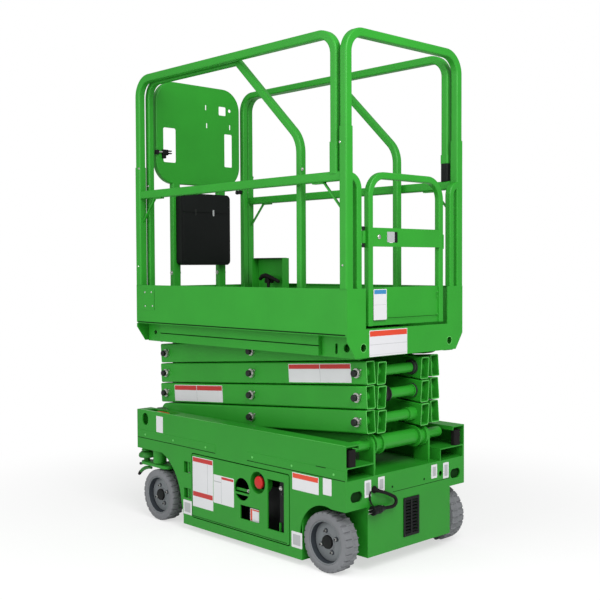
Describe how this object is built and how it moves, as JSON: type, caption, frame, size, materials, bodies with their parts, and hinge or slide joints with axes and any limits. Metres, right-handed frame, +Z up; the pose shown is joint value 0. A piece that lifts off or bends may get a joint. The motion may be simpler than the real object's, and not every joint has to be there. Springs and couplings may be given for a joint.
{
  "type": "scissor lift",
  "caption": "Compact self-propelled scissor lift with a folded arm stack, guard-railed platform, roll-out deck extension, entry gate and swing-out side trays.",
  "frame": {"origin": "on the ground below the middle of the machine", "axes": "+X forward towards the steered wheels, +Y to the machine's left, +Z up"},
  "size_m": [1.492, 0.766, 2.177],
  "materials": {
    "green": "satin",
    "dark_green": "satin",
    "tyre": "matte",
    "rim_grey": "satin",
    "black_plastic": "matte",
    "red_plastic": "gloss",
    "black_rubber": "matte",
    "black_metal": "satin",
    "dark_metal": "satin",
    "steel": "satin",
    "chrome": "polished",
    "battery_grey": "matte"
  },
  "bodies": {
    "chassis": {"chassis_side_left": "green", "chassis_side_right": "green", "chassis_deck": "green", "base_lugs": "green", "tub": "green", "vent_grille": "black_plastic", "buffer_pads": "black_rubber", "door_hinges": "steel", "kingpin_tubes": "green", "rear_hubs": "green", "charge_cord": "black_rubber", "charge_plug": "black_plastic"},
    "door_left": {"door_left": "green", "power_unit": "dark_metal", "stop_button": "red_plastic"},
    "door_right": {"door_right": "green", "batteries": "battery_grey"},
    "knuckle_left": {"knuckle_left": "green"},
    "knuckle_right": {"knuckle_right": "green"},
    "tie_rod": {"tie_rod": "dark_metal"},
    "wheel_front_left": {"tyre_front_left": "tyre", "rim_front_left": "rim_grey"},
    "wheel_front_right": {"tyre_front_right": "tyre", "rim_front_right": "rim_grey"},
    "wheel_rear_left": {"tyre_rear_left": "tyre", "rim_rear_left": "rim_grey"},
    "wheel_rear_right": {"tyre_rear_right": "tyre", "rim_rear_right": "rim_grey"},
    "inner_1": {"inner_arms_1": "green"},
    "outer_1": {"outer_arms_1": "green", "pivot_pins_1": "green", "base_rollers": "steel"},
    "inner_2": {"inner_arms_2": "green"},
    "outer_2": {"outer_arms_2": "green", "pivot_pins_2": "green"},
    "inner_3": {"inner_arms_3": "green"},
    "outer_3": {"outer_arms_3": "green", "pivot_pins_3": "green"},
    "inner_4": {"inner_arms_4": "green", "deck_rollers": "steel"},
    "outer_4": {"outer_arms_4": "green", "pivot_pins_4": "green"},
    "lift_barrel": {"cylinder_barrel": "dark_green"},
    "lift_rod": {"cylinder_rod": "chrome"},
    "platform": {"platform_floor": "green", "toe_boards": "green", "rear_plate": "green", "lower_rails": "green", "side_loops": "green", "loop_stop": "black_plastic", "rear_loop": "green", "gate_hinge": "black_metal", "slide_pads": "black_plastic"},
    "gate": {"gate": "green"},
    "extension": {"extension_deck": "green", "extension_front": "green", "extension_rails": "green", "front_guard": "green", "manual_box": "black_plastic", "control_tray": "green"}
  },
  "joints": [
    {"name": "lift", "type": "hinge", "parent": "chassis", "child": "inner_1", "pos_m": [-0.652, 0, 0.501], "axis": [0, -1, 0], "range_deg": [0, 35.65]},
    {"name": "outer_1_pivot", "type": "hinge", "parent": "inner_1", "child": "outer_1", "pos_m": [0.0061, 0, 0.551], "axis": [0, -1, 0], "range_deg": [-71.8, 0]},
    {"name": "inner_2_pivot", "type": "hinge", "parent": "outer_1", "child": "inner_2", "pos_m": [-0.652, 0, 0.601], "axis": [0, -1, 0], "range_deg": [0, 71.8]},
    {"name": "outer_2_pivot", "type": "hinge", "parent": "inner_2", "child": "outer_2", "pos_m": [0.0061, 0, 0.651], "axis": [0, -1, 0], "range_deg": [-71.8, 0]},
    {"name": "inner_3_pivot", "type": "hinge", "parent": "outer_2", "child": "inner_3", "pos_m": [-0.652, 0, 0.701], "axis": [0, -1, 0], "range_deg": [0, 71.8]},
    {"name": "outer_3_pivot", "type": "hinge", "parent": "inner_3", "child": "outer_3", "pos_m": [0.0061, 0, 0.751], "axis": [0, -1, 0], "range_deg": [-71.8, 0]},
    {"name": "inner_4_pivot", "type": "hinge", "parent": "outer_3", "child": "inner_4", "pos_m": [-0.652, 0, 0.801], "axis": [0, -1, 0], "range_deg": [0, 71.8]},
    {"name": "outer_4_pivot", "type": "hinge", "parent": "inner_4", "child": "outer_4", "pos_m": [0.0061, 0, 0.851], "axis": [0, -1, 0], "range_deg": [-71.8, 0]},
    {"name": "platform_pivot", "type": "hinge", "parent": "outer_4", "child": "platform", "pos_m": [-0.652, 0, 0.901], "axis": [0, -1, 0], "range_deg": [0, 35.95]},
    {"name": "barrel_pivot", "type": "hinge", "parent": "inner_1", "child": "lift_barrel", "pos_m": [-0.52442, 0, 0.53777], "axis": [0, -1, 0], "range_deg": [0, 18.79]},
    {"name": "rod_slide", "type": "slide", "parent": "lift_barrel", "child": "lift_rod", "axis": [0.9927, 0, 0.1209], "range_m": [0, 0.6506]},
    {"name": "steer", "type": "hinge", "parent": "chassis", "child": "knuckle_left", "pos_m": [0.578, 0.342, 0.3], "axis": [0, 0, 1], "range_deg": [-50, 50]},
    {"name": "steer_right", "type": "hinge", "parent": "chassis", "child": "knuckle_right", "pos_m": [0.578, -0.342, 0.3], "axis": [0, 0, 1], "range_deg": [-50.5, 50.5]},
    {"name": "tie_rod_pivot", "type": "hinge", "parent": "knuckle_left", "child": "tie_rod", "pos_m": [0.69, 0.342, 0.306], "axis": [0, 0, 1], "range_deg": [-50.5, 50.5]},
    {"name": "wheel_front_left_spin", "type": "hinge", "parent": "knuckle_left", "child": "wheel_front_left", "pos_m": [0.542, 0.342, 0.124], "axis": [0, 1, 0], "continuous": true},
    {"name": "wheel_front_right_spin", "type": "hinge", "parent": "knuckle_right", "child": "wheel_front_right", "pos_m": [0.542, -0.342, 0.124], "axis": [0, 1, 0], "continuous": true},
    {"name": "wheel_rear_left_spin", "type": "hinge", "parent": "chassis", "child": "wheel_rear_left", "pos_m": [-0.606, 0.342, 0.124], "axis": [0, 1, 0], "continuous": true},
    {"name": "wheel_rear_right_spin", "type": "hinge", "parent": "chassis", "child": "wheel_rear_right", "pos_m": [-0.606, -0.342, 0.124], "axis": [0, 1, 0], "continuous": true},
    {"name": "extension_slide", "type": "slide", "parent": "platform", "child": "extension", "axis": [1, 0, 0], "range_m": [0, 0.6]},
    {"name": "gate_swing", "type": "hinge", "parent": "platform", "child": "gate", "pos_m": [-0.7, 0.25, 1.353], "axis": [0, 0, 1], "range_deg": [0, 90]},
    {"name": "door_left_swing", "type": "hinge", "parent": "chassis", "child": "door_left", "pos_m": [0.303, 0.369, 0.235], "axis": [0, 0, -1], "range_deg": [0, 90]},
    {"name": "door_right_swing", "type": "hinge", "parent": "chassis", "child": "door_right", "pos_m": [0.303, -0.369, 0.235], "axis": [0, 0, 1], "range_deg": [0, 90]}
  ],
  "couplings": [
    {"joint": "outer_1_pivot", "follows": "lift", "ratio": -2},
    {"joint": "inner_2_pivot", "follows": "lift", "ratio": 2},
    {"joint": "outer_2_pivot", "follows": "lift", "ratio": -2},
    {"joint": "inner_3_pivot", "follows": "lift", "ratio": 2},
    {"joint": "outer_3_pivot", "follows": "lift", "ratio": -2},
    {"joint": "inner_4_pivot", "follows": "lift", "ratio": 2},
    {"joint": "outer_4_pivot", "follows": "lift", "ratio": -2},
    {"joint": "platform_pivot", "follows": "lift", "ratio": 1},
    {"joint": "barrel_pivot", "follows": "lift", "ratio": 0.51871},
    {"joint": "rod_slide", "follows": "lift", "m_per_rad": 1.0408},
    {"joint": "steer_right", "follows": "steer", "ratio": 1},
    {"joint": "tie_rod_pivot", "follows": "steer", "ratio": -1}
  ]
}
